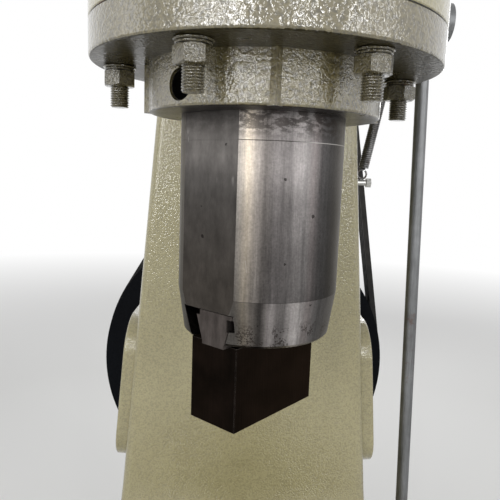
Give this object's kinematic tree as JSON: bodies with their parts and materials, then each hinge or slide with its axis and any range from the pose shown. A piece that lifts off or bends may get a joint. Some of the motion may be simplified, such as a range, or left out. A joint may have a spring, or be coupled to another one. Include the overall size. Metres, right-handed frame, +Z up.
{
  "type": "pneumatic forging hammer",
  "caption": "Self-contained pneumatic forging hammer with a single column, hollow sliding ram, dovetailed dies, belt-driven flywheel and treadle linkage.",
  "frame": {"origin": "on the floor, at the foot of the base, under the axis of the ram", "axes": "+X to the operator's right, +Y to the back, +Z up along the ram's axis"},
  "size_m": [0.8299, 1.525, 1.965],
  "materials": {
    "frame_paint": "gloss hammertone olive cream",
    "anvil_iron": "dark as cast, machined edges",
    "ground_steel": "ground and polished, lightly pitted",
    "die_steel": "dark heat-treated",
    "bright_steel": "turned",
    "black_paint": "satin black",
    "motor_paint": "satin grey blue",
    "belt_rubber": "matte",
    "linkage_steel": "drawn steel, blue grey",
    "zinc_plate": "zinc plated",
    "spring_steel": "oiled wire"
  },
  "bodies": {
    "frame": {"base_casting": "frame_paint", "column_casting": "frame_paint", "cylinder_casting": "frame_paint", "work_cylinder_cover": "frame_paint", "compressor_cover": "frame_paint", "valve_caps": "frame_paint", "valve_gland": "frame_paint", "ram_guide": "frame_paint", "anvil_block": "anvil_iron", "sow_block": "anvil_iron", "sow_wedge": "bright_steel", "lower_die": "die_steel", "lower_die_wedge": "bright_steel", "side_cover_left": "frame_paint", "side_cover_right": "frame_paint", "rear_bearing_housing": "frame_paint", "bearing_cap": "frame_paint", "motor_bracket": "frame_paint", "motor": "motor_paint", "motor_pulley": "black_paint", "drive_belt_1": "belt_rubber", "drive_belt_2": "belt_rubber", "drive_belt_3": "belt_rubber", "drive_belt_4": "belt_rubber", "spring_anchor": "zinc_plate", "return_spring": "spring_steel"},
    "ram": {"ram": "ground_steel", "upper_die": "die_steel", "upper_die_wedge": "bright_steel"},
    "flywheel": {"flywheel": "black_paint", "flywheel_nut": "black_paint", "crankshaft": "bright_steel"},
    "treadle": {"treadle_bar": "linkage_steel", "treadle_shaft": "bright_steel"},
    "link_rod": {"link_rod": "linkage_steel"},
    "valve_lever": {"valve_lever": "linkage_steel", "valve_shaft": "bright_steel"}
  },
  "joints": [
    {"name": "ram_stroke", "type": "slide", "parent": "frame", "child": "ram", "axis": [0, 0, 1], "range_m": [-0.295, 0]},
    {"name": "flywheel_spin", "type": "hinge", "parent": "frame", "child": "flywheel", "pos_m": [0, 1, 0.771], "axis": [0, 1, 0], "continuous": true},
    {"name": "treadle_press", "type": "hinge", "parent": "frame", "child": "treadle", "pos_m": [0, 0.215, 0.15], "axis": [1, 0, 0], "range_deg": [0, 12], "stiffness_Nm_per_rad": 400, "springref_deg": -17.19},
    {"name": "link_swing", "type": "hinge", "parent": "treadle", "child": "link_rod", "pos_m": [0.322, 0.35, 0.15], "axis": [1, 0, 0], "range_deg": [-12, 0]},
    {"name": "lever_turn", "type": "hinge", "parent": "frame", "child": "valve_lever", "pos_m": [0.25, 0.215, 1.56], "axis": [1, 0, 0], "range_deg": [0, 12], "deforming": ["return_spring"]}
  ],
  "couplings": [
    {"joint": "link_swing", "follows": "treadle_press", "ratio": -1},
    {"joint": "lever_turn", "follows": "treadle_press", "ratio": 1}
  ]
}
